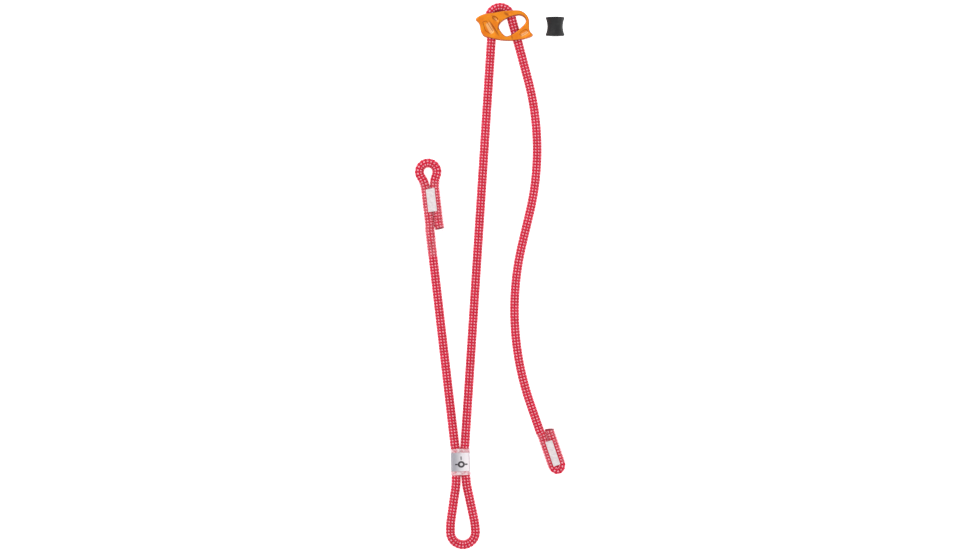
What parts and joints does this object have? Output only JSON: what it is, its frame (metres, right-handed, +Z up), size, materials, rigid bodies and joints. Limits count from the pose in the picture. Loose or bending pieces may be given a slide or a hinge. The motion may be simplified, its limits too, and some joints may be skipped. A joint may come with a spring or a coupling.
{
  "type": "rope grab lanyard",
  "caption": "Rope positioning lanyard with a sewn block, a rope loop, a fixed arm ending in a sewn eye, and an adjustable arm that runs through an anodised rope grab.",
  "frame": {"origin": "under the middle of the sewn block, on the floor plane", "axes": "+Y from the rope loop towards the rope grab, +Z up off the floor, +X to the right seen from above"},
  "size_m": [0.1773, 0.639, 0.0218],
  "materials": {
    "rope_sheath": "braided",
    "rope_core": "matte",
    "clear_sleeve": "clear",
    "label": "matte",
    "thread": "matte",
    "melted_end": "gloss",
    "anodised_frame": "satin",
    "black_rubber": "matte"
  },
  "bodies": {
    "sewn_block": {"block_sleeve": "clear_sleeve", "block_label": "label", "block_stitching": "thread", "block_left_strand_sheath": "rope_sheath", "block_left_strand_core": "rope_core", "block_right_strand_sheath": "rope_sheath", "block_right_strand_core": "rope_core"},
    "loop": {"loop_sheath": "rope_sheath", "loop_core": "rope_core"},
    "fixed_arm": {"fixed_arm_sheath": "rope_sheath", "fixed_arm_core": "rope_core"},
    "eye": {"eye_sheath": "rope_sheath", "eye_core": "rope_core", "eye_stitching": "thread", "eye_label": "label", "eye_sleeve": "clear_sleeve", "eye_end_cap": "melted_end"},
    "adjustable_arm": {"adjustable_arm_sheath": "rope_sheath", "adjustable_arm_core": "rope_core"},
    "rope_in_grab": {"arm_feed_sheath": "rope_sheath", "arm_feed_core": "rope_core", "bight_sheath": "rope_sheath", "bight_core": "rope_core"},
    "grab": {"grab_frame": "anodised_frame"},
    "tail_feed": {"tail_feed_sheath": "rope_sheath", "tail_feed_core": "rope_core"},
    "tail_upper": {"tail_upper_sheath": "rope_sheath", "tail_upper_core": "rope_core"},
    "tail_lower": {"tail_lower_sheath": "rope_sheath", "tail_lower_core": "rope_core", "stopper_sheath": "rope_sheath", "stopper_core": "rope_core", "stopper_stitching": "thread", "stopper_label": "label", "stopper_sleeve": "clear_sleeve", "stopper_end_cap": "melted_end"},
    "keeper": {"keeper": "black_rubber"}
  },
  "joints": [
    {"name": "loop_fold", "type": "hinge", "parent": "sewn_block", "child": "loop", "pos_m": [0.00115, -0.03298, 0.0063], "axis": [-0.9994, -0.0349, 0], "range_deg": [0, 95]},
    {"name": "fixed_arm_swing", "type": "hinge", "parent": "sewn_block", "child": "fixed_arm", "pos_m": [-0.00799, 0.0307, 0.0063], "axis": [0, 0, 1], "range_deg": [-4, 60]},
    {"name": "eye_fold", "type": "hinge", "parent": "fixed_arm", "child": "eye", "pos_m": [-0.02891, 0.21149, 0.0063], "axis": [0.9934, 0.1149, 0], "range_deg": [0, 95]},
    {"name": "adjustable_arm_swing", "type": "hinge", "parent": "sewn_block", "child": "adjustable_arm", "pos_m": [0.00603, 0.03117, 0.0063], "axis": [0, 0, 1], "range_deg": [-45, 6]},
    {"name": "grab_slide", "type": "slide", "parent": "adjustable_arm", "child": "rope_in_grab", "axis": [-0.0649, -0.9979, 0], "range_m": [-0.0248, 0.0992], "deforming": ["arm_feed_sheath", "arm_feed_core"]},
    {"name": "grab_tilt", "type": "hinge", "parent": "rope_in_grab", "child": "grab", "pos_m": [0.04643, 0.51874, 0.0088], "axis": [0, 0, 1], "range_deg": [-5, 8]},
    {"name": "tail_feed_slide", "type": "slide", "parent": "rope_in_grab", "child": "tail_feed", "axis": [0.2588, -0.9659, 0], "range_m": [-0.0124, 0.0496], "deforming": ["tail_feed_sheath", "tail_feed_core"]},
    {"name": "tail_slide", "type": "slide", "parent": "rope_in_grab", "child": "tail_upper", "axis": [0.2588, -0.9659, 0], "range_m": [-0.0248, 0.0992]},
    {"name": "tail_swing", "type": "hinge", "parent": "tail_upper", "child": "tail_lower", "pos_m": [0.07616, 0.27125, 0.0063], "axis": [0, 0, 1], "range_deg": [-10, 45]},
    {"name": "keeper_slide", "type": "slide", "parent": "rope_in_grab", "child": "keeper", "axis": [0, 1, 0], "range_m": [0, 0.03]}
  ],
  "couplings": [
    {"joint": "tail_feed_slide", "follows": "grab_slide", "ratio": 0.5},
    {"joint": "tail_slide", "follows": "grab_slide", "ratio": 1}
  ]
}
